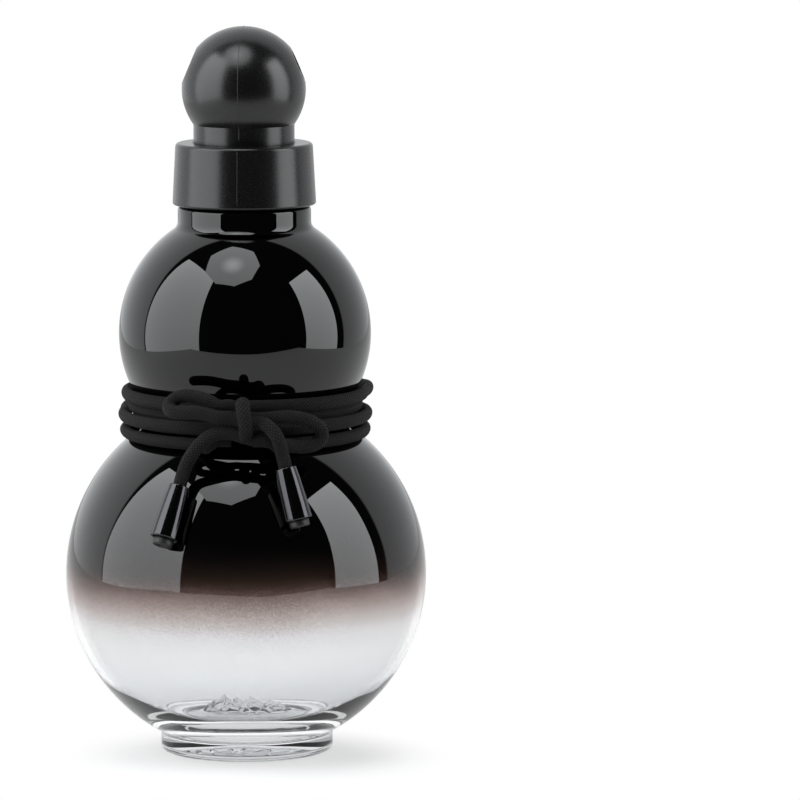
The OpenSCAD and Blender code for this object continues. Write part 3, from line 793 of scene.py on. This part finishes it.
tree.links.new(where.outputs["Object"], away.inputs[0])
far = add(tree, "ShaderNodeMapRange", interpolation_type="SMOOTHSTEP")
far.inputs["From Min"].default_value = 0.036
far.inputs["From Max"].default_value = 0.072
tree.links.new(away.outputs["Value"], far.inputs["Value"])
plain = add(tree, "ShaderNodeEmission")
mixed = add(tree, "ShaderNodeMixShader")
tree.links.new(math_node(tree, "MULTIPLY", far.outputs["Result"], path.outputs["Is Camera Ray"]), mixed.inputs[0])
tree.links.new(both.outputs[0], mixed.inputs[1])
tree.links.new(plain.outputs[0], mixed.inputs[2])
tree.links.new(mixed.outputs[0], tree.nodes["Material Output"].inputs["Surface"])
table = make_mesh("table", [(-700, -640, 0), (760, -640, 0), (760, 3000, 0), (-700, 3000, 0)], [(0, 1, 2, 3)])
table.data.materials.append(paper)

# %% World: white paper behind, a dark room in front
world = bpy.data.worlds.new("studio")
scene.world = world
world.use_nodes = True
tree = world.node_tree
where = add(tree, "ShaderNodeTexCoord")
split = add(tree, "ShaderNodeSeparateXYZ")
tree.links.new(where.outputs["Generated"], split.inputs[0])


def by_depth(near, far, low, high):
    """Light by how far a ray points to the back of the room."""
    node = add(tree, "ShaderNodeMapRange", interpolation_type="SMOOTHSTEP")
    for key, value in (("From Min", near), ("From Max", far), ("To Min", low), ("To Max", high)):
        node.inputs[key].default_value = value
    tree.links.new(split.outputs["Y"], node.inputs["Value"])
    return node.outputs["Result"]


path, through = seen_nodes(tree)
level = add(tree, "ShaderNodeMix", data_type="FLOAT")
tree.links.new(through, level.inputs["Factor"])
side_fall = add(tree, "ShaderNodeMapRange")
for key, value in (("From Min", -0.6), ("From Max", 0.6), ("To Min", 1.0), ("To Max", 0.72)):
    side_fall.inputs[key].default_value = value
tree.links.new(split.outputs["X"], side_fall.inputs["Value"])
behind = math_node(tree, "MULTIPLY", by_depth(0.21, 0.25, 0.035, 1.2), side_fall.outputs["Result"])
tree.links.new(behind, level.inputs[2])
aside = add(tree, "ShaderNodeMapRange")
for key, value in (("From Min", 0.2), ("From Max", 0.75), ("To Min", 1.0), ("To Max", 0.5)):
    aside.inputs[key].default_value = value
tree.links.new(math_node(tree, "ABSOLUTE", split.outputs["X"]), aside.inputs["Value"])
beyond = math_node(tree, "MULTIPLY", by_depth(-0.3, 0.7, 0.55, 0.92), aside.outputs["Result"])
tree.links.new(beyond, level.inputs[3])
last = add(tree, "ShaderNodeMix", data_type="FLOAT")
tree.links.new(path.outputs["Is Camera Ray"], last.inputs["Factor"])
tree.links.new(level.outputs[0], last.inputs[2])
last.inputs[3].default_value = 1.0
tree.links.new(last.outputs[0], tree.nodes["Background"].inputs["Strength"])
tint = add(tree, "ShaderNodeMix", data_type="RGBA")
tint.inputs[6].default_value = (0.965, 0.98, 1.0, 1)
tint.inputs[7].default_value = (1, 1, 1, 1)
tree.links.new(path.outputs["Is Camera Ray"], tint.inputs["Factor"])
tree.links.new(tint.outputs[2], tree.nodes["Background"].inputs["Color"])


# %% Lamps
def softbox(name, place, aim, corners, low, high, heart=0.0):
    """A glowing sheet, brighter towards its top, and by heart brighter at its middle. It lights and shows in
    reflections, but the camera doesn't see it."""
    way = (Vector(aim) - Vector(place)).normalized()
    across = Vector((0, 0, 1)).cross(way).normalized()
    above = way.cross(across)
    points = [Vector(place) * 1000 + across * u * 1000 + above * v * 1000 for u, v in corners]
    top, bottom = max(v for u, v in corners), min(v for u, v in corners)
    sheet = make_mesh(name, points, [tuple(range(len(points)))],
                      [(u, (v - bottom) / (top - bottom)) for u, v in corners])
    look, tree, shader = new_material(name + "_glow")
    tree.nodes.remove(shader)
    uv_map = add(tree, "ShaderNodeUVMap", uv_map="UVMap")
    split = add(tree, "ShaderNodeSeparateXYZ")
    tree.links.new(uv_map.outputs["UV"], split.inputs[0])
    level = add(tree, "ShaderNodeMapRange")
    level.inputs["To Min"].default_value = low
    level.inputs["To Max"].default_value = high
    tree.links.new(split.outputs["Y"], level.inputs["Value"])
    off = add(tree, "ShaderNodeVectorMath", operation="MULTIPLY_ADD")
    off.inputs[1].default_value = (1 / max(u for u, v in corners), 2, 0)
    off.inputs[2].default_value = (0, -1, 0)
    tree.links.new(uv_map.outputs["UV"], off.inputs[0])
    away = add(tree, "ShaderNodeVectorMath", operation="LENGTH")
    tree.links.new(off.outputs["Vector"], away.inputs[0])
    spot = add(tree, "ShaderNodeMapRange", interpolation_type="SMOOTHSTEP")
    for key, value in (("From Min", 0.0), ("From Max", 0.55), ("To Min", heart), ("To Max", 0.0)):
        spot.inputs[key].default_value = value
    tree.links.new(away.outputs["Value"], spot.inputs["Value"])
    facing = add(tree, "ShaderNodeNewGeometry")
    front = math_node(tree, "SUBTRACT", 1.0, facing.outputs["Backfacing"])
    glow = add(tree, "ShaderNodeEmission")
    glow.inputs["Color"].default_value = (0.97, 0.985, 1.0, 1)
    shine = math_node(tree, "ADD", level.outputs["Result"], spot.outputs["Result"])
    tree.links.new(math_node(tree, "MULTIPLY", front, shine), glow.inputs["Strength"])
    tree.links.new(glow.outputs[0], tree.nodes["Material Output"].inputs["Surface"])
    sheet.data.materials.append(look)
    sheet.visible_camera = False
    sheet.visible_transmission = False
    sheet.visible_shadow = False
    return sheet


def round_place(azimuth, distance, height):
    a = math.radians(azimuth)
    return distance * math.sin(a), -distance * math.cos(a), height


softbox("left_panel", round_place(-70, 0.9, 0.58), (0, 0, 0.58),
        [(-0.52, -0.88), (0.52, -0.88), (0.52, 0.88), (-0.52, 0.88)], 2.5, 5.0)
softbox("right_panel", round_place(75.5, 1.1, 0.50), (0, 0, 0.50),
        [(-0.345, -0.81), (0.345, -0.81), (0.345, 0.81), (-0.345, 0.81)], 2.6, 5.4)
ROUND_R = 0.355
corner_turns = [math.radians(22.5 + 45 * k) for k in range(8)]
softbox("round_panel", (-0.14, -0.32, 1.01), (0, 0, 0.14),
        [(ROUND_R * math.cos(a), ROUND_R * math.sin(a)) for a in corner_turns], 2.8, 3.6, heart=3.0)
